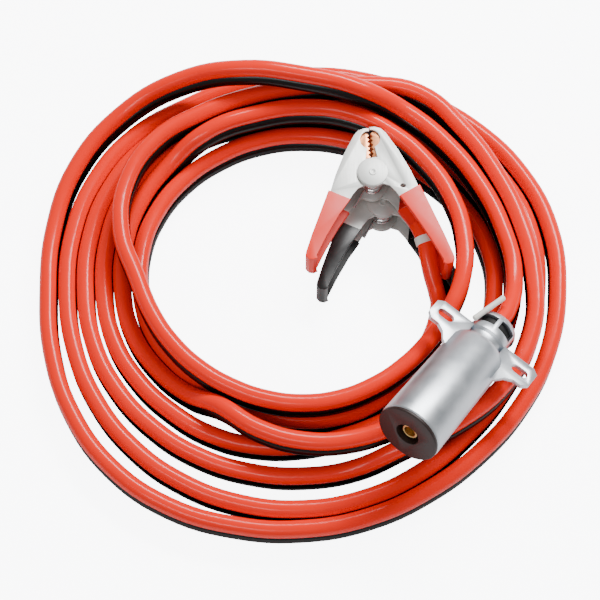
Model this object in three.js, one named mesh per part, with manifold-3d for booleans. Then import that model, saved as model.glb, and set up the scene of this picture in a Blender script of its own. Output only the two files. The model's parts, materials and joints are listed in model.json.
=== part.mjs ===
import * as THREE from 'three';
import { mergeVertices } from 'three/addons/utils/BufferGeometryUtils.js';
import Module from 'manifold-3d';

const wasm = await Module();
wasm.setup();

// Aircraft jumper cable, laid down in a loose coil. Millimetres, +Z up, floor at z = 0.
// Coil angles run anticlockwise from +X, seen from above.

const CLEARANCE = 0.3;

// Twin cable: a red conductor above a black one
const CONDUCTOR_D = 13;
const CONDUCTOR_R = CONDUCTOR_D / 2;
const PAIR_PITCH = CONDUCTOR_D + CLEARANCE;
const LAYER_RISE = 2 * (CONDUCTOR_D + 0.4);
const CONDUCTOR_SIDES = 8;
const KNOT_ANGLE = 20;
const RING_ANGLE = 15;

// One row for each turn from the plug to the clamps: radius at 0, 20, 40 ... 340 degrees
const TURN_RADII = [
  [158, 155.5, 156, 159.5, 153.3, 163, 187, 204, 200.5, 194, 196, 199, 196.5, 190, 186, 183, 184, 189.5],
  [194, 198, 195, 190, 188, 185, 183.5, 188, 184.5, 179.5, 178, 177.5, 176, 174, 171.5, 168.5, 167.5, 172],
  [178, 182.5, 179, 172, 169, 167, 170, 174.3, 170.6, 165.5, 162.5, 157.5, 153, 149, 147.5, 150.5, 164.2, 174.5],
  [173, 170.5, 173, 180.5, 165.5, 159, 159, 161, 147.5, 124.5, 114, 107, 102.5, 101, 101, 101.5, 104, 110],
  [119.5, 127, 133.4, 139, 143.5, 142, 143, 146.5, 143, 137.5, 131.5, 122.5, 117.5, 126.5, 132, 136, 142, 152],
  [160, 160.5, 158, 155, 152, 151, 154.9, 161, 156.8, 151.5, 147, 139.5, 134, 127.5, 122, 121.8, 128, 137.5],
  [145.5, 145, 138.5, 133.5, 132.5, 132.5, 132, 131.5, 129, 123.5, 117.5, 108.5, 103, 104, 105.5, 105.5, 103.5, 103],
];
// The layer that the pair lies in at the same places: 1 on the floor, 2 on one pair, 3 on two
const TURN_LAYERS = [
  [2, 2, 2, 2.1, 3, 3.1, 2.4, 1.45, 1, 1, 1, 1, 1, 1, 1, 1, 1, 1],
  [1, 1, 1, 1, 1, 1, 1, 1, 1, 1, 1, 1, 1, 1, 1, 1, 1, 1],
  [1, 1, 1, 1, 1, 1, 1, 1, 1, 1, 1, 1, 1, 1, 1, 1.7, 2.02, 2],
  [2, 2, 2, 2, 2, 2, 2, 2, 2, 2, 2, 2, 2, 2, 2, 2, 2, 2.1],
  [2.2, 2.15, 2, 2, 2, 2, 1.98, 1.2, 1, 1, 1, 1, 1.8, 2, 2, 2, 1.4, 1],
  [1, 1, 1, 1, 1, 1, 1, 1, 1, 1, 1, 1, 1, 1, 1, 1, 1, 1],
  [1, 1, 1, 1, 1, 1, 1, 1, 1, 1, 1, 1, 1, 1, 1, 1, 1, 1],
];

// Single conductors from the end of the last turn to the clamps
const RED_LEAD = [
  [102.6, -15, 22.5], [100.6, -5, 28.7], [96.7, 7, 35.4], [94.4, 17, 40.3],
  [93, 26, 43.4], [90.4, 34.5, 45], [86.6, 43, 45.3],
];
const BLACK_LEAD = [
  [103.3, -14, 8.2], [104, -3, 11.3], [103.4, 8, 14.2], [100.5, 18, 15], [96.5, 28, 15], [92, 38, 15],
];

// Plug: turned shell with the insulator in its nose, y from the nose to the cable end
const PLUG_NOSE = new THREE.Vector3(74.3, -137, 86);
const PLUG_REAR = new THREE.Vector3(146, -40, 51.6);
const PLUG_ROLL = THREE.MathUtils.degToRad(6);
const SHELL_R = 24.2;
const SHELL_REAR_R = 22.8;
const SHELL_LENGTH = 93;
const NOSE_WALL = 1.4;
const NECK_R = 14.8;
const NECK_LENGTH = 8;
const CAP_R = 17;
const CAP_LENGTH = 19;
const SHOULDER = 7;
const NECK_BORE_R = PAIR_PITCH / 2 + CONDUCTOR_R + CLEARANCE;
const CABLE_GRIP = 12;
const INSULATOR_DEPTH = 32;
const INSULATOR_PROUD = 2.6;
const SOCKET_WELL_R = 9;
const SOCKET_WELL_DEPTH = 14;
const CONTACT_R = 6.3;
const CONTACT_BORE_R = 4.4;
const CONTACT_LENGTH = 26;
const CONTACT_FLOOR = 5;
const CONTACT_SET_BACK = 3;
const WINDOW_COUNT = 6;
const WINDOW_LENGTH = 8;
const WINDOW_TO_END = 5;
const WINDOW_BAR = 4;

// Ears on both sides of the shell, each with a slot for a retaining strap
const EAR_REACH = 45;
const EAR_LENGTH = 19;
const EAR_THICK = 4;
const EAR_LIFT = 8;
const EAR_CHAMFER = 4.5;
const EAR_WEB = 16;
const EAR_ROOT = 9;
const EAR_SWELL = 1;
const EAR_FLARE = 5;
const EAR_SHOULDER = 11;
const SLOT_LENGTH = 13.5;
const SLOT_WIDTH = 6.4;
const SLOT_EDGE = 5;

// White tie rod beside the neck
const ROD_R = 2.2;
const ROD_LENGTH = 30;
const ROD_LEAN = THREE.MathUtils.degToRad(-14);
const ROD_RISE = THREE.MathUtils.degToRad(10);
const ROD_SEAT = THREE.MathUtils.degToRad(50);
const ROD_PLACE = 118;

// Clamps: two steel channels on a rivet, jaws towards +y, handles towards -y
const STEEL = 1.6;
const CLAMP_HEIGHT = 27;
const JAW_GAP = 0.3;
const JAW_TIP = 38.5;
const LOBE_R = 12;
const HOLE_R = 7.8;
const HOLE_CENTRE = 28.6;
const NECK_GAP = 2.8;
const NECK_FOOT = 4.6;
const MOUTH_FOOT = 12.4;
const HANDLE_START = 13;
const RIVET_R = 3;
const RIVET_HEAD_R = 11.5;
const RIVET_HEAD = 0.4;
const RIVET_TAIL_R = 5;
const GRIP_WALL = 1.2;
const LINER = 1;
const TOOTH = 2;
const TOOTH_COUNT = 6;
const LINER_FOOT_WIDTH = 7.5;
const LINER_SIDE = [[10, 22], [11, 28], [8.5, 34.2]];
const LINER_TO_MOUTH = 0.4;
const LINER_TO_HOLE_TOP = 1.2;
const SIGHT_HOLE = [22, -12.8];
const SIGHT_HOLE_R = 1.8;
const SPRING_WIRE = 2.2;
const SPRING_R = 7.4;
const SPRING_TURNS = 4;
const SPRING_LEG = 17;
const SPRING_LEG_ANGLE = THREE.MathUtils.degToRad(-58);
const SPRING_LEG_DROP = 14.62;
const CLAMP_TOTAL = CLAMP_HEIGHT + 2 * (GRIP_WALL + CLEARANCE);
const MOVING_HANDLE = 0.84;
const BLACK_PIVOT = [61.4, 69.4];
const RED_PIVOT = [53, 80.6];
const CLAMP_TURN = THREE.MathUtils.degToRad(3.5);

const COLOURS = {
  red: 0xf23a18,
  black: 0x1b1a19,
  aluminium: 0xc9cdd0,
  steel: 0xdadcd9,
  copper: 0xd98a55,
  brass: 0xc8a860,
  white: 0xf1efe8,
  dark: 0x33211c,
};

const FINISHES = {
  red: [0.3, 0],
  black: [0.35, 0],
  aluminium: [0.35, 1],
  steel: [0.4, 1],
  copper: [0.4, 1],
  brass: [0.35, 1],
  white: [0.5, 0],
  dark: [0.5, 0],
};

const root = new THREE.Group();

function addMesh(group, name, geometry, colour) {
  const [roughness, metalness] = FINISHES[colour];
  const material = new THREE.MeshStandardMaterial({ color: COLOURS[colour], roughness, metalness });
  const mesh = new THREE.Mesh(geometry, material);
  mesh.name = name;
  group.add(mesh);
  return mesh;
}

function toSolid(geometry) {
  const bare = geometry.clone();
  bare.deleteAttribute('normal');
  bare.deleteAttribute('uv');
  const merged = mergeVertices(bare, 1e-4);
  return new wasm.Manifold(new wasm.Mesh({
    numProp: 3,
    vertProperties: new Float32Array(merged.attributes.position.array),
    triVerts: new Uint32Array(merged.index.array),
  }));
}

function toGeometry(solid) {
  const mesh = solid.getMesh();
  const geometry = new THREE.BufferGeometry();
  geometry.setAttribute('position', new THREE.BufferAttribute(new Float32Array(mesh.vertProperties), 3));
  geometry.setIndex(new THREE.BufferAttribute(new Uint32Array(mesh.triVerts), 1));
  geometry.computeVertexNormals();
  return geometry;
}

function slab(points, bottom, top) {
  const shape = new THREE.Shape(points.map(([x, y]) => new THREE.Vector2(x, y)));
  const geometry = new THREE.ExtrudeGeometry(shape, { depth: top - bottom, bevelEnabled: false });
  geometry.translate(0, 0, bottom);
  return toSolid(geometry);
}

function turned(profile, segments) {
  const points = profile.map(([radius, along]) => new THREE.Vector2(radius, along));
  return new THREE.LatheGeometry(points, segments);
}

function upright(radius, bottom, top, segments = 24) {
  const geometry = new THREE.CylinderGeometry(radius, radius, top - bottom, segments);
  geometry.rotateX(Math.PI / 2);
  geometry.translate(0, 0, (bottom + top) / 2);
  return toSolid(geometry);
}

// A round bar through the points, with one ring of its surface at each
function bar(points, radius, sides) {
  const curve = new THREE.CatmullRomCurve3(points, false, 'centripetal');
  curve.getUtoTmapping = (u) => u;
  const section = new THREE.Shape();
  for (let i = 0; i < sides; i += 1) {
    const angle = ((i + 0.5) * 2 * Math.PI) / sides;
    const point = [radius * Math.cos(angle), radius * Math.sin(angle)];
    if (i === 0) section.moveTo(...point);
    else section.lineTo(...point);
  }
  section.closePath();
  const steps = points.length - 1;
  return new THREE.ExtrudeGeometry(section, { steps, bevelEnabled: false, extrudePath: curve });
}

// Cable route

function layerHeight(layer) {
  return CONDUCTOR_R + PAIR_PITCH / 2 + (layer - 1) * LAYER_RISE;
}

function knot(values, index) {
  return values[THREE.MathUtils.clamp(index, 0, values.length - 1)];
}

function coilPoint(degrees) {
  const radii = TURN_RADII.flat();
  const layers = TURN_LAYERS.flat();
  const index = Math.floor(degrees / KNOT_ANGLE);
  const t = degrees / KNOT_ANGLE - index;
  const [a, b, c, d] = [-1, 0, 1, 2].map((step) => knot(radii, index + step));
  const bend = (2 * a - 5 * b + 4 * c - d) * t * t + (3 * b - a - 3 * c + d) * t * t * t;
  const radius = 0.5 * (2 * b + (c - a) * t + bend);
  const ease = t * t * (3 - 2 * t);
  const layer = knot(layers, index) * (1 - ease) + knot(layers, index + 1) * ease;
  const angle = THREE.MathUtils.degToRad(degrees);
  return new THREE.Vector3(radius * Math.cos(angle), radius * Math.sin(angle), layerHeight(layer));
}

const plugAxis = PLUG_REAR.clone().sub(PLUG_NOSE).normalize();
const plugLength = SHELL_LENGTH + NECK_LENGTH + CAP_LENGTH;
const plugEnd = PLUG_NOSE.clone().addScaledVector(plugAxis, plugLength);

const pairPoints = [
  plugEnd.clone().addScaledVector(plugAxis, -CABLE_GRIP),
  plugEnd.clone(),
  plugEnd.clone().addScaledVector(plugAxis, CABLE_GRIP),
];
const lastAngle = (TURN_RADII.flat().length - 1) * KNOT_ANGLE;
for (let degrees = 0; degrees <= lastAngle; degrees += RING_ANGLE) pairPoints.push(coilPoint(degrees));

// Each conductor lies half a pitch from the middle of the pair, square to its run
function conductorPoints(side) {
  return pairPoints.map((point, i) => {
    const before = pairPoints[Math.max(i - 1, 0)];
    const after = pairPoints[Math.min(i + 1, pairPoints.length - 1)];
    const along = after.clone().sub(before).normalize();
    const up = new THREE.Vector3(0, 0, 1).addScaledVector(along, -along.z).normalize();
    return point.clone().addScaledVector(up, (side * PAIR_PITCH) / 2);
  });
}

function conductor(side, lead) {
  const points = conductorPoints(side).concat(lead.map((p) => new THREE.Vector3(...p)));
  return bar(points, CONDUCTOR_R, CONDUCTOR_SIDES);
}

addMesh(root, 'cable_red', conductor(1, RED_LEAD), 'red');
addMesh(root, 'cable_black', conductor(-1, BLACK_LEAD), 'black');

// Plug

function earSolid(side) {
  const front = SHELL_LENGTH - EAR_LENGTH / 2;
  const back = SHELL_LENGTH + EAR_LENGTH / 2;
  const inner = SHELL_REAR_R - EAR_ROOT;
  const outline = [
    [inner, front - EAR_WEB],
    [SHELL_REAR_R + EAR_SWELL, front - EAR_WEB * 0.55],
    [SHELL_REAR_R + EAR_FLARE, front - EAR_WEB * 0.2],
    [SHELL_REAR_R + EAR_SHOULDER, front],
    [EAR_REACH - EAR_CHAMFER, front],
    [EAR_REACH, front + EAR_CHAMFER],
    [EAR_REACH, back - EAR_CHAMFER * 0.7],
    [EAR_REACH - EAR_CHAMFER, back],
    [inner, back],
  ];
  const bottom = EAR_LIFT - EAR_THICK / 2;
  const top = EAR_LIFT + EAR_THICK / 2;
  const end = EAR_REACH - SLOT_EDGE - SLOT_WIDTH / 2;
  const start = end - SLOT_LENGTH + SLOT_WIDTH;
  const middle = (front + back) / 2;
  const slot = slotOutline(start, end, middle).map(([x, y]) => [side * x, y]);
  const ear = slab(outline.map(([x, y]) => [side * x, y]), bottom, top);
  return ear.subtract(slab(slot, bottom - 1, top + 1));
}

function slotOutline(start, end, middle) {
  const points = [];
  for (let i = 0; i <= 6; i += 1) {
    const angle = -Math.PI / 2 + (i * Math.PI) / 6;
    points.push([end + (SLOT_WIDTH / 2) * Math.cos(angle), middle + (SLOT_WIDTH / 2) * Math.sin(angle)]);
  }
  for (let i = 0; i <= 6; i += 1) {
    const angle = Math.PI / 2 + (i * Math.PI) / 6;
    points.push([start + (SLOT_WIDTH / 2) * Math.cos(angle), middle + (SLOT_WIDTH / 2) * Math.sin(angle)]);
  }
  return points;
}

function shellSolid() {
  const noseBore = SHELL_R - NOSE_WALL;
  const capStart = SHELL_LENGTH + NECK_LENGTH;
  const end = capStart + CAP_LENGTH;
  const outside = turned([
    [0, 0],
    [SHELL_R - 0.6, 0],
    [SHELL_R, 1],
    [SHELL_REAR_R, SHELL_LENGTH - SHOULDER],
    [SHELL_REAR_R - 1.5, SHELL_LENGTH - SHOULDER * 0.4],
    [NECK_R + 2, SHELL_LENGTH],
    [NECK_R, SHELL_LENGTH + 1.5],
    [NECK_R, capStart - 1.5],
    [CAP_R, capStart],
    [CAP_R, end - 6],
    [CAP_R - 0.7, end - 2.5],
    [CAP_R - 2, end],
    [0, end],
  ], 48);
  const chamber = turned([
    [0, -1],
    [noseBore, -1],
    [noseBore, INSULATOR_DEPTH + CLEARANCE],
    [0, INSULATOR_DEPTH + CLEARANCE],
  ], 48);
  const cableBore = turned([
    [0, end - CAP_LENGTH - NECK_LENGTH],
    [NECK_BORE_R, end - CAP_LENGTH - NECK_LENGTH],
    [NECK_BORE_R, end + 1],
    [0, end + 1],
  ], 48);
  let solid = toSolid(outside);
  solid = solid.add(earSolid(1)).add(earSolid(-1));
  solid = solid.subtract(toSolid(chamber)).subtract(toSolid(cableBore));
  const pitch = (2 * Math.PI) / WINDOW_COUNT;
  const width = CAP_R * pitch - WINDOW_BAR;
  for (let i = 0; i < WINDOW_COUNT; i += 1) {
    const window = new THREE.BoxGeometry(width, WINDOW_LENGTH, CAP_R);
    window.translate(0, end - WINDOW_TO_END - WINDOW_LENGTH / 2, CAP_R);
    window.rotateY((i + 0.5) * pitch);
    solid = solid.subtract(toSolid(window));
  }
  return solid;
}

const plug = new THREE.Group();
const plugSide = new THREE.Vector3().crossVectors(plugAxis, new THREE.Vector3(0, 0, 1)).normalize();
const plugUp = new THREE.Vector3().crossVectors(plugSide, plugAxis);
plug.matrix.makeBasis(plugSide, plugAxis, plugUp);
plug.quaternion.setFromRotationMatrix(plug.matrix);
plug.rotateY(PLUG_ROLL);
plug.position.copy(PLUG_NOSE);
root.add(plug);

addMesh(plug, 'plug_shell', toGeometry(shellSolid()), 'aluminium');

const insulatorR = SHELL_R - NOSE_WALL - CLEARANCE;
const flangeR = SHELL_R - CLEARANCE;
const contactHole = CONTACT_R + CLEARANCE;
const contactHoleEnd = CONTACT_LENGTH + CONTACT_SET_BACK + CLEARANCE - INSULATOR_PROUD;
addMesh(plug, 'plug_insulator', turned([
  [0, contactHoleEnd],
  [contactHole, contactHoleEnd],
  [contactHole, SOCKET_WELL_DEPTH],
  [SOCKET_WELL_R, SOCKET_WELL_DEPTH],
  [SOCKET_WELL_R, -INSULATOR_PROUD],
  [flangeR - 0.6, -INSULATOR_PROUD],
  [flangeR, 0.6 - INSULATOR_PROUD],
  [flangeR, -CLEARANCE],
  [insulatorR, -CLEARANCE],
  [insulatorR, INSULATOR_DEPTH],
  [0, INSULATOR_DEPTH],
], 48), 'dark');

const contact = addMesh(plug, 'plug_contact', turned([
  [0, CONTACT_LENGTH - CONTACT_FLOOR],
  [CONTACT_BORE_R, CONTACT_LENGTH - CONTACT_FLOOR],
  [CONTACT_BORE_R, 0],
  [CONTACT_R - 0.5, 0],
  [CONTACT_R, 0.5],
  [CONTACT_R, CONTACT_LENGTH],
  [0, CONTACT_LENGTH],
], 32), 'brass');
contact.position.y = CONTACT_SET_BACK - INSULATOR_PROUD;

const rod = new THREE.CylinderGeometry(ROD_R, ROD_R, ROD_LENGTH, 16);
const rodMesh = addMesh(plug, 'neck_tie_rod', rod, 'white');
const rodReach = CAP_R + ROD_R + CLEARANCE;
rodMesh.rotation.z = ROD_LEAN;
rodMesh.rotation.x = ROD_RISE;
rodMesh.position.set(-rodReach * Math.cos(ROD_SEAT), ROD_PLACE, rodReach * Math.sin(ROD_SEAT));

// Clamps, drawn for the half on the +x side and mirrored for the other

const HANDLE_OUTER = [[33, -HANDLE_START], [40.5, -34], [48, -56], [53.3, -73]];
const HANDLE_TIP = [[53.8, -76], [52.2, -78.8], [49.4, -78.8]];
const HANDLE_INNER = [[47, -76.5], [38.5, -58], [28, -38], [16.5, -18]];
const JAW_OUTER = [[4, JAW_TIP], [8.6, 36.9], [12, 33.2], [20.5, 18], [28.5, 0]];
const CROTCH = [[12, -12], [6, -9.7]];
// Where the dip coat ends on the inner line, and the corners that keep its inner side open
const DIP_INNER_END = [18.5, -21.5];
const DIP_OPEN_SIDE = [[5, -40], [5, 0], [36, 0]];

function jawMouth() {
  const points = [[JAW_GAP, MOUTH_FOOT], [NECK_FOOT, MOUTH_FOOT], [NECK_GAP, HOLE_CENTRE - HOLE_R + 0.6]];
  for (let i = 0; i <= 8; i += 1) {
    const angle = THREE.MathUtils.degToRad(-62 + i * 19);
    points.push([HOLE_R * Math.cos(angle), HOLE_CENTRE + HOLE_R * Math.sin(angle)]);
  }
  points.push([JAW_GAP, HOLE_CENTRE + HOLE_R]);
  points.push([JAW_GAP, JAW_TIP]);
  return points;
}

// The handle of the moving half is the shorter one
function handleLine(points, side) {
  const scale = side > 0 ? 1 : MOVING_HANDLE;
  return points.map(([x, y]) => [x, -HANDLE_START + (y + HANDLE_START) * scale]);
}

function plateOutline(side) {
  return [
    ...jawMouth(),
    ...JAW_OUTER,
    ...handleLine(HANDLE_OUTER, side),
    ...handleLine(HANDLE_TIP, side),
    ...handleLine(HANDLE_INNER, side),
    ...CROTCH,
    [JAW_GAP, -8],
  ];
}

// A strip inside a line of points, as thick as wall
function strip(points, wall) {
  const inside = points.map(([x, y], i) => {
    const [ax, ay] = points[Math.max(i - 1, 0)];
    const [bx, by] = points[Math.min(i + 1, points.length - 1)];
    const length = Math.hypot(bx - ax, by - ay);
    return [x + ((by - ay) / length) * wall, y - ((bx - ax) / length) * wall];
  });
  return [...points, ...inside.reverse()];
}

function mirrored(points, side) {
  return side > 0 ? points : points.map(([x, y]) => [-x, y]);
}

function clampHalf(side, half) {
  const plate = mirrored(plateOutline(side), side);
  const edge = [...JAW_OUTER.slice(1), ...handleLine([...HANDLE_OUTER, HANDLE_TIP[0]], side)];
  const web = mirrored(strip(edge, STEEL), side);
  let solid = slab(web, -half, half);
  for (const bottom of [-half, half - STEEL]) {
    solid = solid.add(slab(plate, bottom, bottom + STEEL));
    solid = solid.add(upright(LOBE_R, bottom, bottom + STEEL, 32));
  }
  if (side > 0) {
    const [x, y] = SIGHT_HOLE;
    solid = solid.subtract(slab(ringOutline(x, y, SIGHT_HOLE_R), half - STEEL - 1, half + 1));
  }
  return solid.subtract(upright(RIVET_R + CLEARANCE / 2, -half - 1, half + 1));
}

function ringOutline(x, y, radius) {
  const points = [];
  for (let i = 0; i < 12; i += 1) {
    const angle = (i * Math.PI) / 6;
    points.push([x + radius * 1.3 * Math.cos(angle), y + radius * Math.sin(angle)]);
  }
  return points;
}

// The handle's outer line and tip, moved outwards
function grownHandle(outward, side) {
  const outer = handleLine(HANDLE_OUTER, side).map(([x, y]) => [x + outward * 1.05, y]);
  const tip = handleLine(HANDLE_TIP, side).map(([x, y], i) => {
    const turn = i / 2;
    return [x + outward * (1 - turn), y - outward * turn];
  });
  return [...outer, ...tip];
}

function gripSolid(side, half) {
  const inner = handleLine(HANDLE_INNER, side);
  const outside = [
    ...grownHandle(CLEARANCE + GRIP_WALL, side),
    [inner[0][0] - 1, inner[0][1] - 2],
    ...inner.slice(0, 3),
    DIP_INNER_END,
  ];
  const cavity = [
    ...grownHandle(CLEARANCE, side),
    [20, inner[0][1] - CLEARANCE - 2.3],
    ...DIP_OPEN_SIDE,
  ];
  const reach = half + CLEARANCE + GRIP_WALL;
  const shell = slab(mirrored(outside, side), -reach, reach);
  return shell.subtract(slab(mirrored(cavity, side), -half - CLEARANCE, half + CLEARANCE));
}

// Copper liner of one jaw: a toothed wall that bites the post, with a flange under each plate
function linerSolid(side, half) {
  const foot = MOUTH_FOOT + LINER_TO_MOUTH;
  const top = HOLE_CENTRE + HOLE_R - LINER_TO_HOLE_TOP;
  const teeth = [];
  const pitch = (top - foot) / TOOTH_COUNT;
  for (let i = 0; i < TOOTH_COUNT; i += 1) {
    teeth.push([JAW_GAP + TOOTH, foot + i * pitch]);
    teeth.push([JAW_GAP + 0.1, foot + (i + 0.5) * pitch]);
  }
  teeth.push([JAW_GAP + TOOTH, top]);
  const wall = [...teeth, [JAW_GAP + TOOTH + LINER, top], [JAW_GAP + TOOTH + LINER, foot]];
  const flange = [[JAW_GAP + TOOTH, foot], [LINER_FOOT_WIDTH, foot], ...LINER_SIDE, [JAW_GAP + TOOTH, top]];
  const reach = half - STEEL - CLEARANCE;
  let solid = slab(mirrored(wall, side), -reach, reach);
  for (const bottom of [-reach, reach - LINER]) {
    solid = solid.add(slab(mirrored(flange, side), bottom, bottom + LINER));
  }
  return solid;
}

function rivetGeometry(half) {
  return turned([
    [0, -half - CLEARANCE - RIVET_HEAD],
    [RIVET_TAIL_R, -half - CLEARANCE - RIVET_HEAD],
    [RIVET_TAIL_R, -half - CLEARANCE / 2],
    [RIVET_R, -half - CLEARANCE / 2],
    [RIVET_R, half + CLEARANCE / 2],
    [RIVET_HEAD_R, half + CLEARANCE / 2],
    [RIVET_HEAD_R, half + CLEARANCE / 2 + RIVET_HEAD],
    [0, half + CLEARANCE / 2 + RIVET_HEAD],
  ], 32).rotateX(Math.PI / 2);
}

// Torsion spring that fills the space between the moving half's plates
function springGeometry(inside) {
  const points = [];
  const perTurn = 12;
  const count = perTurn * SPRING_TURNS;
  const rise = 2 * (inside - CLEARANCE) - SPRING_WIRE;
  const start = SPRING_LEG_ANGLE - Math.PI / 2;
  const startPoint = [SPRING_R * Math.cos(start), SPRING_R * Math.sin(start)];
  points.push(new THREE.Vector3(
    startPoint[0] - SPRING_LEG * Math.cos(SPRING_LEG_ANGLE), startPoint[1] - SPRING_LEG_DROP, -rise / 2));
  for (let i = 0; i <= count; i += 1) {
    const angle = start + (i * 2 * Math.PI) / perTurn;
    points.push(new THREE.Vector3(
      SPRING_R * Math.cos(angle), SPRING_R * Math.sin(angle), -rise / 2 + (rise * i) / count));
  }
  return bar(points, SPRING_WIRE / 2, 6);
}

function addClamp(prefix, colour, pivot, level) {
  const clamp = new THREE.Group();
  clamp.position.set(pivot[0], pivot[1], level + CLAMP_TOTAL / 2);
  clamp.rotation.z = CLAMP_TURN;
  root.add(clamp);
  const fixedHalf = CLAMP_HEIGHT / 2;
  const movingHalf = fixedHalf - STEEL - CLEARANCE;
  const halves = [['fixed', 1, fixedHalf], ['moving', -1, movingHalf]];
  for (const [word, side, half] of halves) {
    addMesh(clamp, `${prefix}_${word}_half`, toGeometry(clampHalf(side, half)), 'steel');
    addMesh(clamp, `${prefix}_${word}_grip`, toGeometry(gripSolid(side, half)), colour);
    addMesh(clamp, `${prefix}_${word}_liner`, toGeometry(linerSolid(side, half)), 'copper');
  }
  addMesh(clamp, `${prefix}_rivet`, rivetGeometry(fixedHalf), 'steel');
  addMesh(clamp, `${prefix}_spring`, springGeometry(movingHalf - STEEL), 'steel');
}

addClamp('black', 'black', BLACK_PIVOT, 0);
addClamp('red', 'red', RED_PIVOT, CLAMP_TOTAL + CLEARANCE);

// The origin is on the floor under the middle of the plug and the clamps together
const fittings = new THREE.Box3();
root.updateMatrixWorld(true);
for (const child of root.children) {
  if (child.isGroup) fittings.expandByObject(child, true);
}
const middle = fittings.getCenter(new THREE.Vector3());
root.position.set(-middle.x, -middle.y, 0);

export default root;
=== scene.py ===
import json
import math

import bpy
from mathutils import Matrix, Vector

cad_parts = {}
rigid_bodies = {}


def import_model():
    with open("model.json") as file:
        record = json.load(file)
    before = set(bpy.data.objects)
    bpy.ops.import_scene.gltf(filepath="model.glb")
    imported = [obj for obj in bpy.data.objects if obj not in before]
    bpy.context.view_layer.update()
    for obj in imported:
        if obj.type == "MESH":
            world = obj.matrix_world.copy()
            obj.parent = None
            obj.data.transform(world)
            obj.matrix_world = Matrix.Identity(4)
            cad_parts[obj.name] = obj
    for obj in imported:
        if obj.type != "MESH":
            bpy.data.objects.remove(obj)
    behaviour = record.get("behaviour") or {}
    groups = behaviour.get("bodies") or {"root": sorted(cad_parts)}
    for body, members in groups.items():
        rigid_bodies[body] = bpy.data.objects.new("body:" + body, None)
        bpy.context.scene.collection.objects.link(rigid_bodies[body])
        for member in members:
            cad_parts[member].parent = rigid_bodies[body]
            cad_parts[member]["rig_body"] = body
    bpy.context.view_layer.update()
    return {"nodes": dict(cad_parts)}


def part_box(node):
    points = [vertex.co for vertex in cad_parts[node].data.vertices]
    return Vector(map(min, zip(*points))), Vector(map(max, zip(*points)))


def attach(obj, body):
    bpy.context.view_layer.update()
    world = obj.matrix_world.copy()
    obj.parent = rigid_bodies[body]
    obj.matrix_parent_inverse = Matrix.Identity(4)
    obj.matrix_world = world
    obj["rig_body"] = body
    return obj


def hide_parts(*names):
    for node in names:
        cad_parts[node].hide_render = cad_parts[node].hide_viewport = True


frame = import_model()

# The coil lies round a centre on the floor; the red clamp's rivet stands at a known place beside it.
RED_RIVET_FROM_CENTRE = Vector((0.053, 0.0806, 0))
rivet_low, rivet_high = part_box("red_rivet")
rivet_middle = (rivet_low + rivet_high) / 2
coil_centre = Vector((rivet_middle.x, rivet_middle.y, 0)) - RED_RIVET_FROM_CENTRE

# Camera: a long lens looks down at the coil from the front, 67 degrees above the floor.
CAMERA_HEIGHT_ANGLE = math.radians(67)
CAMERA_DISTANCE = 1.45
MM_PER_PIXEL = 0.77
IMAGE_PIXELS = 600
COIL_CENTRE_PIXEL_X = 303

camera_data = bpy.data.cameras.new("camera")
camera_data.sensor_fit = "HORIZONTAL"
camera_data.angle = 2 * math.atan(IMAGE_PIXELS / 2 * MM_PER_PIXEL / 1000 / CAMERA_DISTANCE)
camera_data.shift_x = (IMAGE_PIXELS / 2 - COIL_CENTRE_PIXEL_X) / IMAGE_PIXELS
camera = bpy.data.objects.new("camera", camera_data)
bpy.context.scene.collection.objects.link(camera)
towards_camera = Vector((0, -math.cos(CAMERA_HEIGHT_ANGLE), math.sin(CAMERA_HEIGHT_ANGLE)))
camera.location = coil_centre + towards_camera * CAMERA_DISTANCE
camera.rotation_euler = towards_camera.to_track_quat("Z", "Y").to_euler()
bpy.context.scene.camera = camera

# Twin battery cable: two stranded copper conductors in thick extruded PVC, the red one lying on the
# black one, wound in seven loose turns from the plug to the clamps.
CONDUCTOR_D = 0.013
PAIR_PITCH = 0.0133
LAYER_RISE = 0.0268
KNOT_ANGLE = 20
POINT_ANGLE = 15
TURN_RADII = [
    [0.158, 0.1555, 0.156, 0.1595, 0.1533, 0.163, 0.187, 0.204, 0.2005,
     0.194, 0.196, 0.199, 0.1965, 0.19, 0.186, 0.183, 0.184, 0.1895],
    [0.194, 0.198, 0.195, 0.19, 0.188, 0.185, 0.1835, 0.188, 0.1845,
     0.1795, 0.178, 0.1775, 0.176, 0.174, 0.1715, 0.1685, 0.1675, 0.172],
    [0.178, 0.1825, 0.179, 0.172, 0.169, 0.167, 0.17, 0.1743, 0.1706,
     0.1655, 0.1625, 0.1575, 0.153, 0.149, 0.1475, 0.1505, 0.1642, 0.1745],
    [0.173, 0.1705, 0.173, 0.1805, 0.1655, 0.159, 0.159, 0.161, 0.1475,
     0.1245, 0.114, 0.107, 0.1025, 0.101, 0.101, 0.1015, 0.104, 0.11],
    [0.1195, 0.127, 0.1334, 0.139, 0.1435, 0.142, 0.143, 0.1465, 0.143,
     0.1375, 0.1315, 0.1225, 0.1175, 0.1265, 0.132, 0.136, 0.142, 0.152],
    [0.16, 0.1605, 0.158, 0.155, 0.152, 0.151, 0.1549, 0.161, 0.1568,
     0.1515, 0.147, 0.1395, 0.134, 0.1275, 0.122, 0.1218, 0.128, 0.1375],
    [0.1455, 0.145, 0.1385, 0.1335, 0.1325, 0.1325, 0.132, 0.1315, 0.129,
     0.1235, 0.1175, 0.1085, 0.103, 0.104, 0.1055, 0.1055, 0.1035, 0.103],
]
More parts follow.
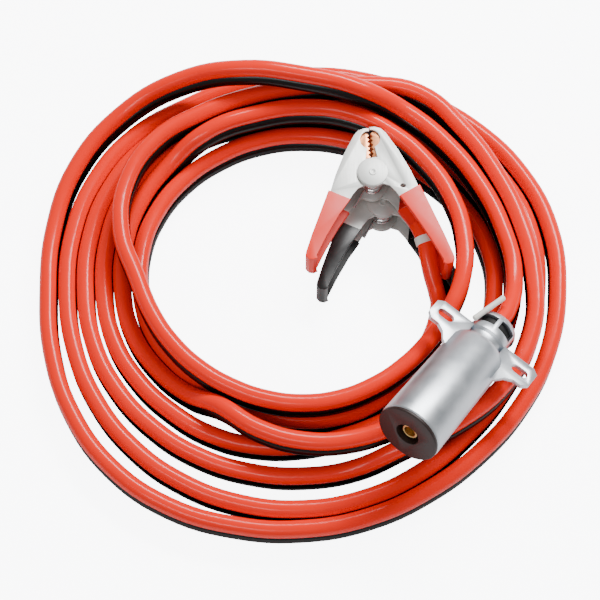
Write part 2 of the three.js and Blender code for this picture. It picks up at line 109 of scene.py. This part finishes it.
TURN_LAYERS = [
    [2, 2, 2, 2.1, 3, 3.1, 2.4, 1.45, 1, 1, 1, 1, 1, 1, 1, 1, 1, 1],
    [1, 1, 1, 1, 1, 1, 1, 1, 1, 1, 1, 1, 1, 1, 1, 1, 1, 1],
    [1, 1, 1, 1, 1, 1, 1, 1, 1, 1, 1, 1, 1, 1, 1, 1.7, 2.02, 2],
    [2, 2, 2, 2, 2, 2, 2, 2, 2, 2, 2, 2, 2, 2, 2, 2, 2, 2.1],
    [2.2, 2.15, 2, 2, 2, 2, 1.98, 1.2, 1, 1, 1, 1, 1.8, 2, 2, 2, 1.4, 1],
    [1, 1, 1, 1, 1, 1, 1, 1, 1, 1, 1, 1, 1, 1, 1, 1, 1, 1],
    [1, 1, 1, 1, 1, 1, 1, 1, 1, 1, 1, 1, 1, 1, 1, 1, 1, 1],
]
PLUG_NOSE = Vector((0.0743, -0.137, 0.086))
PLUG_REAR = Vector((0.146, -0.04, 0.0516))
PLUG_LENGTH = 0.12
CABLE_GRIP = 0.012
RED_LEAD = [
    (0.1026, -0.015, 0.0225), (0.1006, -0.005, 0.0287), (0.0967, 0.007, 0.0354), (0.0944, 0.017, 0.0403),
    (0.093, 0.026, 0.0434), (0.0904, 0.0345, 0.045), (0.0866, 0.043, 0.0453),
]
BLACK_LEAD = [
    (0.1033, -0.014, 0.0082), (0.104, -0.003, 0.0113), (0.1034, 0.008, 0.0142), (0.1005, 0.018, 0.015),
    (0.0965, 0.028, 0.015), (0.092, 0.038, 0.015),
]
plug_axis = (PLUG_REAR - PLUG_NOSE).normalized()
plug_end = PLUG_NOSE + plug_axis * PLUG_LENGTH
knot_radii = [radius for turn in TURN_RADII for radius in turn]
knot_layers = [layer for turn in TURN_LAYERS for layer in turn]


def coil_point(degrees):
    """The middle of the pair at an angle counted on from the plug through all the turns."""
    last = len(knot_radii) - 1
    index = int(degrees // KNOT_ANGLE)
    t = degrees / KNOT_ANGLE - index
    a, b, c, d = (knot_radii[min(max(index + step, 0), last)] for step in (-1, 0, 1, 2))
    bend = (2 * a - 5 * b + 4 * c - d) * t ** 2 + (3 * b - a - 3 * c + d) * t ** 3
    radius = 0.5 * (2 * b + (c - a) * t + bend)
    ease = t * t * (3 - 2 * t)
    layer = knot_layers[index] * (1 - ease) + knot_layers[min(index + 1, last)] * ease
    height = CONDUCTOR_D / 2 + PAIR_PITCH / 2 + (layer - 1) * LAYER_RISE
    angle = math.radians(degrees)
    return Vector((radius * math.cos(angle), radius * math.sin(angle), height))


pair_points = [plug_end - plug_axis * CABLE_GRIP, plug_end, plug_end + plug_axis * CABLE_GRIP]
last_angle = (len(knot_radii) - 1) * KNOT_ANGLE
pair_points += [coil_point(degrees) for degrees in range(0, last_angle + 1, POINT_ANGLE)]


def conductor_points(side, lead):
    """One conductor's centreline, half a pitch above or below the middle of the pair."""
    points = []
    for i, point in enumerate(pair_points):
        before = pair_points[max(i - 1, 0)]
        after = pair_points[min(i + 1, len(pair_points) - 1)]
        along = (after - before).normalized()
        up = (Vector((0, 0, 1)) - along * along.z).normalized()
        points.append(point + up * side * PAIR_PITCH / 2 + coil_centre)
    return points + [Vector(point) + coil_centre for point in lead]


# Sockets of a mix node in its colour mode
TONE_A = 6
TONE_B = 7
TONE_RESULT = 2


def linear(hex_colour):
    """An sRGB hex colour as the linear values that a shader takes."""
    channels = [int(hex_colour[i:i + 2], 16) / 255 for i in (1, 3, 5)]
    return [c / 12.92 if c <= 0.04045 else ((c + 0.055) / 1.055) ** 2.4 for c in channels] + [1]


def add_node(material, kind, settings=None, links=None):
    """Adds a node, sets its own fields and its sockets, and plugs other nodes' outputs into them."""
    made = material.node_tree.nodes.new(kind)
    for field, value in (settings or {}).items():
        if hasattr(made, field):
            setattr(made, field, value)
        else:
            made.inputs[field].default_value = value
    for socket, output in (links or {}).items():
        material.node_tree.links.new(output, made.inputs[socket])
    return made


def new_material(name):
    """An empty material with its shader and its object coordinates."""
    material = bpy.data.materials.new(name)
    material.use_nodes = True
    material.node_tree.nodes.clear()
    shader = add_node(material, "ShaderNodeBsdfPrincipled")
    add_node(material, "ShaderNodeOutputMaterial", {}, {"Surface": shader.outputs["BSDF"]})
    place = add_node(material, "ShaderNodeTexCoord").outputs["Object"]
    return material, shader, place


def plug_in(material, shader, tone, dull, bump):
    """Joins a surface's colour, its dullness and its relief to the shader."""
    links = material.node_tree.links
    links.new(tone.outputs[TONE_RESULT], shader.inputs["Base Color"])
    links.new(dull.outputs["Result"], shader.inputs["Roughness"])
    links.new(bump.outputs["Normal"], shader.inputs["Normal"])


def extruded_pvc(name, colour, deep, roughness):
    """Extruded soft PVC: glossy, a little wavy from the die, with handling dust that dulls it in patches."""
    material, shader, place = new_material(name)
    wave_mm = 9.0
    dust_mm = 22.0
    haze = add_node(material, "ShaderNodeTexNoise", {"Scale": 1000 / dust_mm, "Detail": 4}, {"Vector": place})
    wave = add_node(material, "ShaderNodeTexNoise", {"Scale": 1000 / wave_mm, "Detail": 2}, {"Vector": place})
    tone = add_node(material, "ShaderNodeMix", {"data_type": "RGBA"}, {"Factor": haze.outputs["Fac"]})
    tone.inputs[TONE_A].default_value = linear(deep)
    tone.inputs[TONE_B].default_value = linear(colour)
    dull = add_node(material, "ShaderNodeMapRange", {"To Min": roughness, "To Max": roughness + 0.14},
                    {"Value": haze.outputs["Fac"]})
    bump = add_node(material, "ShaderNodeBump", {"Strength": 0.25, "Distance": 0.0004},
                    {"Height": wave.outputs["Fac"]})
    shader.inputs["IOR"].default_value = 1.5
    shader.inputs["Specular IOR Level"].default_value = 0.3
    plug_in(material, shader, tone, dull, bump)
    return material


def lay_conductor(name, points, material, node):
    """A round bar of PVC along its centreline, attached to the fixed pieces in place of its CAD node, which
    is hidden.
    """
    curve = bpy.data.curves.new(name, "CURVE")
    curve.dimensions = "3D"
    curve.bevel_depth = CONDUCTOR_D / 2
    curve.bevel_resolution = 8
    curve.resolution_u = 6
    curve.use_fill_caps = True
    curve.twist_mode = "Z_UP"
    spline = curve.splines.new("BEZIER")
    spline.bezier_points.add(len(points) - 1)
    for knot, point in zip(spline.bezier_points, points):
        knot.co = point
        knot.handle_left_type = "AUTO"
        knot.handle_right_type = "AUTO"
    curve.materials.append(material)
    piece = bpy.data.objects.new(name, curve)
    bpy.context.scene.collection.objects.link(piece)
    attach(piece, "root")
    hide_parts(node)


red_pvc = extruded_pvc("extruded_red_pvc", "#ff2600", "#fb1c00", 0.14)
black_pvc = extruded_pvc("extruded_black_pvc", "#060505", "#030303", 0.18)
lay_conductor("red_conductor", conductor_points(1, RED_LEAD), red_pvc, "cable_red")
lay_conductor("black_conductor", conductor_points(-1, BLACK_LEAD), black_pvc, "cable_black")

# Plug: a barrel turned from aluminium with a cap whose windows show a black rubber boot, two cast ears
# for the retaining strap, and in its nose a moulded phenolic disc round a brass contact tube.
BARREL_EDGE = 0.0004
CONTACT_EDGE = 0.0003
ROD_EDGE = 0.0012
WELD_DISTANCE = 0.00002
FLAT_ANGLE = math.radians(1)
EDGE_ANGLE = math.radians(28)
SMOOTH_ANGLE = math.radians(32)


def eased_copy(node, name, edge, material, segments=2, cut=None):
    """The real piece over a plain solid: the same form, its sharp edges broken and its rounds smooth.
    cut is a plane, a point and a normal, that the surface is parted along for a change of finish."""
    source = frame["nodes"][node]
    piece = bpy.data.objects.new(name, source.data.copy())
    bpy.context.scene.collection.objects.link(piece)
    bpy.ops.object.select_all(action="DESELECT")
    bpy.context.view_layer.objects.active = piece
    piece.select_set(True)
    bpy.ops.object.mode_set(mode="EDIT")
    bpy.ops.mesh.select_all(action="SELECT")
    bpy.ops.mesh.remove_doubles(threshold=WELD_DISTANCE)
    bpy.ops.mesh.dissolve_limited(angle_limit=FLAT_ANGLE)
    if cut:
        bpy.ops.mesh.select_all(action="SELECT")
        bpy.ops.mesh.bisect(plane_co=cut[0], plane_no=cut[1])
    bpy.ops.object.mode_set(mode="OBJECT")
    bevel = piece.modifiers.new("broken edges", "BEVEL")
    bevel.width = edge
    bevel.segments = segments
    bevel.limit_method = "ANGLE"
    bevel.angle_limit = EDGE_ANGLE
    bpy.ops.object.modifier_apply(modifier=bevel.name)
    bpy.ops.object.shade_smooth_by_angle(angle=SMOOTH_ANGLE)
    piece.data.materials.clear()
    piece.data.materials.append(material)
    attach(piece, source["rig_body"])
    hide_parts(node)
    return piece


def turned_aluminium():
    """Turned aluminium: fine rings round the axis catch the light, with a few rubs from handling."""
    material, shader, place = new_material("turned_aluminium")
    ring_mm = 0.9
    rub_mm = 14.0
    along = add_node(material, "ShaderNodeVectorMath", {"operation": "DOT_PRODUCT"}, {0: place})
    along.inputs[1].default_value = plug_axis
    rings = add_node(material, "ShaderNodeTexNoise",
                     {"noise_dimensions": "1D", "Scale": 1000 / ring_mm, "Detail": 3},
                     {"W": along.outputs["Value"]})
    rub = add_node(material, "ShaderNodeTexNoise", {"Scale": 1000 / rub_mm, "Detail": 5}, {"Vector": place})
    tone = add_node(material, "ShaderNodeMix", {"data_type": "RGBA"}, {"Factor": rub.outputs["Fac"]})
    tone.inputs[TONE_A].default_value = linear("#b3bac2")
    tone.inputs[TONE_B].default_value = linear("#e4e7ea")
    dull = add_node(material, "ShaderNodeMapRange", {"To Min": 0.26, "To Max": 0.5},
                    {"Value": rub.outputs["Fac"]})
    bump = add_node(material, "ShaderNodeBump", {"Strength": 0.3, "Distance": 0.00008},
                    {"Height": rings.outputs["Fac"]})
    shader.inputs["Metallic"].default_value = 1
    plug_in(material, shader, tone, dull, bump)
    return material


def grained(name, light, dark, grain_mm, roughness, metallic=0.0, depth_mm=0.05):
    """A cast, moulded or rolled surface: two close tones and a bump at the size of its grain."""
    material, shader, place = new_material(name)
    grain = add_node(material, "ShaderNodeTexNoise", {"Scale": 1000 / grain_mm, "Detail": 5},
                     {"Vector": place})
    tone = add_node(material, "ShaderNodeMix", {"data_type": "RGBA"}, {"Factor": grain.outputs["Fac"]})
    tone.inputs[TONE_A].default_value = linear(dark)
    tone.inputs[TONE_B].default_value = linear(light)
    dull = add_node(material, "ShaderNodeMapRange", {"To Min": roughness - 0.06, "To Max": roughness + 0.1},
                    {"Value": grain.outputs["Fac"]})
    bump = add_node(material, "ShaderNodeBump", {"Strength": 0.3, "Distance": depth_mm / 1000},
                    {"Height": grain.outputs["Fac"]})
    shader.inputs["Metallic"].default_value = metallic
    plug_in(material, shader, tone, dull, bump)
    return material


phenolic = grained("moulded_phenolic", "#2c1610", "#180b08", 1.5, 0.42)
brass = grained("drawn_brass", "#e0c48a", "#b08e52", 2.5, 0.3, metallic=1.0)
nylon = grained("white_nylon", "#f4f2ec", "#e6e2d8", 3.0, 0.42)
eased_copy("plug_shell", "plug_barrel", BARREL_EDGE, turned_aluminium())
eased_copy("plug_insulator", "plug_nose_disc", BARREL_EDGE, phenolic)
eased_copy("plug_contact", "plug_contact_tube", CONTACT_EDGE, brass)
cap_rubber = grained("black_rubber_boot", "#0a0909", "#050505", 3.0, 0.6)
BOOT_R = 0.0137
BOOT_LENGTH = 0.024
BOOT_WALL = 0.0003
BOOT_SET_BACK = 0.0008
boot_middle = coil_centre + PLUG_NOSE + plug_axis * (PLUG_LENGTH - BOOT_LENGTH / 2 - BOOT_SET_BACK)


def thin_tube(name, middle, way, radius, length, wall, sides, material):
    """An open tube round a line, its wall inside the radius, that stays with the fixed pieces."""
    bpy.ops.object.select_all(action="DESELECT")
    bpy.ops.mesh.primitive_cylinder_add(vertices=sides, radius=radius, depth=length, end_fill_type="NOTHING",
                                        location=middle, rotation=way.to_track_quat("Z", "Y").to_euler())
    tube = bpy.context.active_object
    tube.name = name
    solidify = tube.modifiers.new("wall", "SOLIDIFY")
    solidify.thickness = wall
    bpy.ops.object.modifier_apply(modifier=solidify.name)
    bpy.ops.object.transform_apply(location=True, rotation=True, scale=True)
    bpy.ops.object.shade_smooth_by_angle(angle=SMOOTH_ANGLE)
    tube.data.materials.append(material)
    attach(tube, "root")


thin_tube("cap_boot", boot_middle, plug_axis, BOOT_R, BOOT_LENGTH, BOOT_WALL, 48, cap_rubber)
eased_copy("neck_tie_rod", "neck_rod", ROD_EDGE, nylon, segments=4)

# Clamps: halves folded from zinc-plated sheet steel with copper liners in the jaws, riveted together
# round a torsion spring, the handles dipped in vinyl.
SHEET_EDGE = 0.00035
TOOTH_EDGE = 0.0001
DISC_EDGE = 0.0002
VINYL_EDGE = 0.0011


def zinc_plate():
    """Zinc-plated sheet: pale, rolled in one direction, with light scratches along the roll."""
    material, shader, place = new_material("zinc_plated_sheet")
    roll_mm = 0.8
    cloud_mm = 18.0
    stretched = add_node(material, "ShaderNodeMapping", {}, {"Vector": place})
    stretched.inputs["Rotation"].default_value = (0, 0, math.radians(25))
    stretched.inputs["Scale"].default_value = (1, 0.06, 1)
    roll = add_node(material, "ShaderNodeTexNoise", {"Scale": 1000 / roll_mm, "Detail": 4},
                    {"Vector": stretched.outputs["Vector"]})
    cloud = add_node(material, "ShaderNodeTexNoise", {"Scale": 1000 / cloud_mm, "Detail": 4},
                     {"Vector": place})
    tone = add_node(material, "ShaderNodeMix", {"data_type": "RGBA"}, {"Factor": cloud.outputs["Fac"]})
    tone.inputs[TONE_A].default_value = linear("#c4c6c2")
    tone.inputs[TONE_B].default_value = linear("#f1f2ef")
    dull = add_node(material, "ShaderNodeMapRange", {"To Min": 0.42, "To Max": 0.62},
                    {"Value": roll.outputs["Fac"]})
    bump = add_node(material, "ShaderNodeBump", {"Strength": 0.15, "Distance": 0.00006},
                    {"Height": roll.outputs["Fac"]})
    shader.inputs["Metallic"].default_value = 0.85
    plug_in(material, shader, tone, dull, bump)
    return material


zinc = zinc_plate()
copper = grained("copper_plated_liner", "#ffb684", "#d97f4a", 2.0, 0.34, metallic=0.8)
vinyls = {
    "red": grained("dipped_red_vinyl", "#ff2c0e", "#f42208", 6.0, 0.38),
    "black": grained("dipped_black_vinyl", "#0b0a0a", "#070606", 6.0, 0.3),
}
CLAMP_TURN = math.radians(3.5)
DIP_LINE_POINT = Vector((0.026, -0.0178, 0))
DIP_LINE_NORMAL = Vector((-0.44, 0.9, 0))


def dip_plane(colour, side):
    """Where the vinyl dip ends on a handle: a plane across it, facing the jaws."""
    low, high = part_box(f"{colour}_rivet")
    mirror = 1 if side == "fixed" else -1
    turn = Matrix.Rotation(CLAMP_TURN, 3, "Z")
    point = Vector((DIP_LINE_POINT.x * mirror, DIP_LINE_POINT.y, 0))
    normal = Vector((DIP_LINE_NORMAL.x * mirror, DIP_LINE_NORMAL.y, 0))
    return (low + high) / 2 + turn @ point, turn @ normal


def dip_handle(piece, vinyl, plane):
    """Paints the faces below the plane with the vinyl, which coats the inside of the handle too."""
    piece.data.materials.append(vinyl)
    for face in piece.data.polygons:
        if (face.center - plane[0]).dot(plane[1]) < 0:
            face.material_index = 1


for colour in ("red", "black"):
    for side in ("fixed", "moving"):
        plane = dip_plane(colour, side)
        half = eased_copy(f"{colour}_{side}_half", f"{colour}_{side}_plates", SHEET_EDGE,
                          zinc, cut=plane)
        dip_handle(half, vinyls[colour], plane)
        eased_copy(f"{colour}_{side}_liner", f"{colour}_{side}_teeth", TOOTH_EDGE, copper)
        eased_copy(f"{colour}_{side}_grip", f"{colour}_{side}_handle_dip", VINYL_EDGE,
                   vinyls[colour], segments=4)
    eased_copy(f"{colour}_rivet", f"{colour}_rivet_disc", DISC_EDGE, zinc)

# Rivet heads: the pin's end, spun over into a low button on the disc, with a dimple from the tool.
HEAD_R = 0.003
HEAD_HEIGHT = 0.0006
HEAD_SEAT = 0.0001
HEAD_EDGE = 0.0002
DIMPLE_RIM = 0.0012
DIMPLE_SLOPE = 0.0006
DIMPLE_DEPTH = 0.0003
for colour in ("red", "black"):
    low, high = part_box(f"{colour}_rivet")
    middle = (low + high) / 2
    bpy.ops.object.select_all(action="DESELECT")
    bpy.ops.mesh.primitive_cylinder_add(vertices=32, radius=HEAD_R, depth=HEAD_HEIGHT,
                                        location=(middle.x, middle.y, high.z + HEAD_HEIGHT / 2 - HEAD_SEAT))
    head = bpy.context.active_object
    head.name = f"{colour}_rivet_head"
    bpy.ops.object.mode_set(mode="EDIT")
    bpy.ops.mesh.select_all(action="DESELECT")
    bpy.ops.object.mode_set(mode="OBJECT")
    for face in head.data.polygons:
        face.select = face.normal.z > 0.9
    bpy.ops.object.mode_set(mode="EDIT")
    bpy.ops.mesh.inset(thickness=DIMPLE_RIM, depth=0)
    bpy.ops.mesh.inset(thickness=DIMPLE_SLOPE, depth=-DIMPLE_DEPTH)
    bpy.ops.object.mode_set(mode="OBJECT")
    bevel = head.modifiers.new("broken edges", "BEVEL")
    bevel.width = HEAD_EDGE
    bevel.segments = 2
    bpy.ops.object.modifier_apply(modifier=bevel.name)
    bpy.ops.object.transform_apply(location=True, rotation=True, scale=True)
    bpy.ops.object.shade_smooth_by_angle(angle=SMOOTH_ANGLE)
    head.data.materials.append(zinc)
    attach(head, "root")

# Lead sleeve: a short white nylon ring that holds the red lead where it enters the clamp's handle.
SLEEVE_R = 0.0073
SLEEVE_LENGTH = 0.006
SLEEVE_WALL = 0.0008
sleeve_start = Vector(RED_LEAD[4])
sleeve_end = Vector(RED_LEAD[5])
sleeve_way = (sleeve_end - sleeve_start).normalized()
sleeve_middle = coil_centre + (sleeve_start + sleeve_end) / 2
thin_tube("red_lead_sleeve", sleeve_middle, sleeve_way, SLEEVE_R, SLEEVE_LENGTH, SLEEVE_WALL, 40, nylon)

# Torsion springs: round spring wire wound round the rivet, bright plated, one leg against the handle.
WIRE_EDGE = 0.0002
bright_wire = grained("bright_spring_wire", "#f2f2f2", "#c9c9c9", 5.0, 0.12, metallic=1.0,
                      depth_mm=0.01)
for colour in ("red", "black"):
    eased_copy(f"{colour}_spring", f"{colour}_torsion_spring", WIRE_EDGE, bright_wire)

# Floor: a seamless white studio sweep, wide enough to fill every view.
FLOOR_SIZE = 12.0
bpy.ops.object.select_all(action="DESELECT")
bpy.ops.mesh.primitive_plane_add(size=FLOOR_SIZE, location=(coil_centre.x, coil_centre.y, 0))
floor = bpy.context.active_object
floor.name = "floor"
paper, paper_shader = new_material("white_paper_sweep")[:2]
paper_shader.inputs["Base Color"].default_value = linear("#f7f7f8")
paper_shader.inputs["Roughness"].default_value = 0.9
paper_shader.inputs["Emission Color"].default_value = linear("#fbfcff")
seen = add_node(paper, "ShaderNodeLightPath").outputs["Is Camera Ray"]
glow = add_node(paper, "ShaderNodeMapRange", {"To Min": 0.1, "To Max": 8.0}, {"Value": seen})
paper.node_tree.links.new(glow.outputs["Result"], paper_shader.inputs["Emission Strength"])
floor.data.materials.append(paper)

# Light: one broad soft box behind and to the right, a weaker one in front, and a white room round them.
world = bpy.data.worlds.new("white room")
bpy.context.scene.world = world
world.use_nodes = True
world.node_tree.nodes["Background"].inputs["Color"].default_value = (1, 1, 1, 1)
world.node_tree.nodes["Background"].inputs["Strength"].default_value = 0.44


def soft_box(name, place, width, height, power):
    """A rectangular soft box that faces the coil."""
    data = bpy.data.lights.new(name, "AREA")
    data.shape = "RECTANGLE"
    data.size = width
    data.size_y = height
    data.energy = power
    light = bpy.data.objects.new(name, data)
    bpy.context.scene.collection.objects.link(light)
    light.location = coil_centre + Vector(place)
    light.rotation_euler = Vector(place).to_track_quat("Z", "Y").to_euler()


soft_box("key_box", (0.5, 0.9, 1.3), 1.2, 0.25, 40)
soft_box("front_box", (-0.5, -0.9, 1.4), 0.9, 0.3, 7)
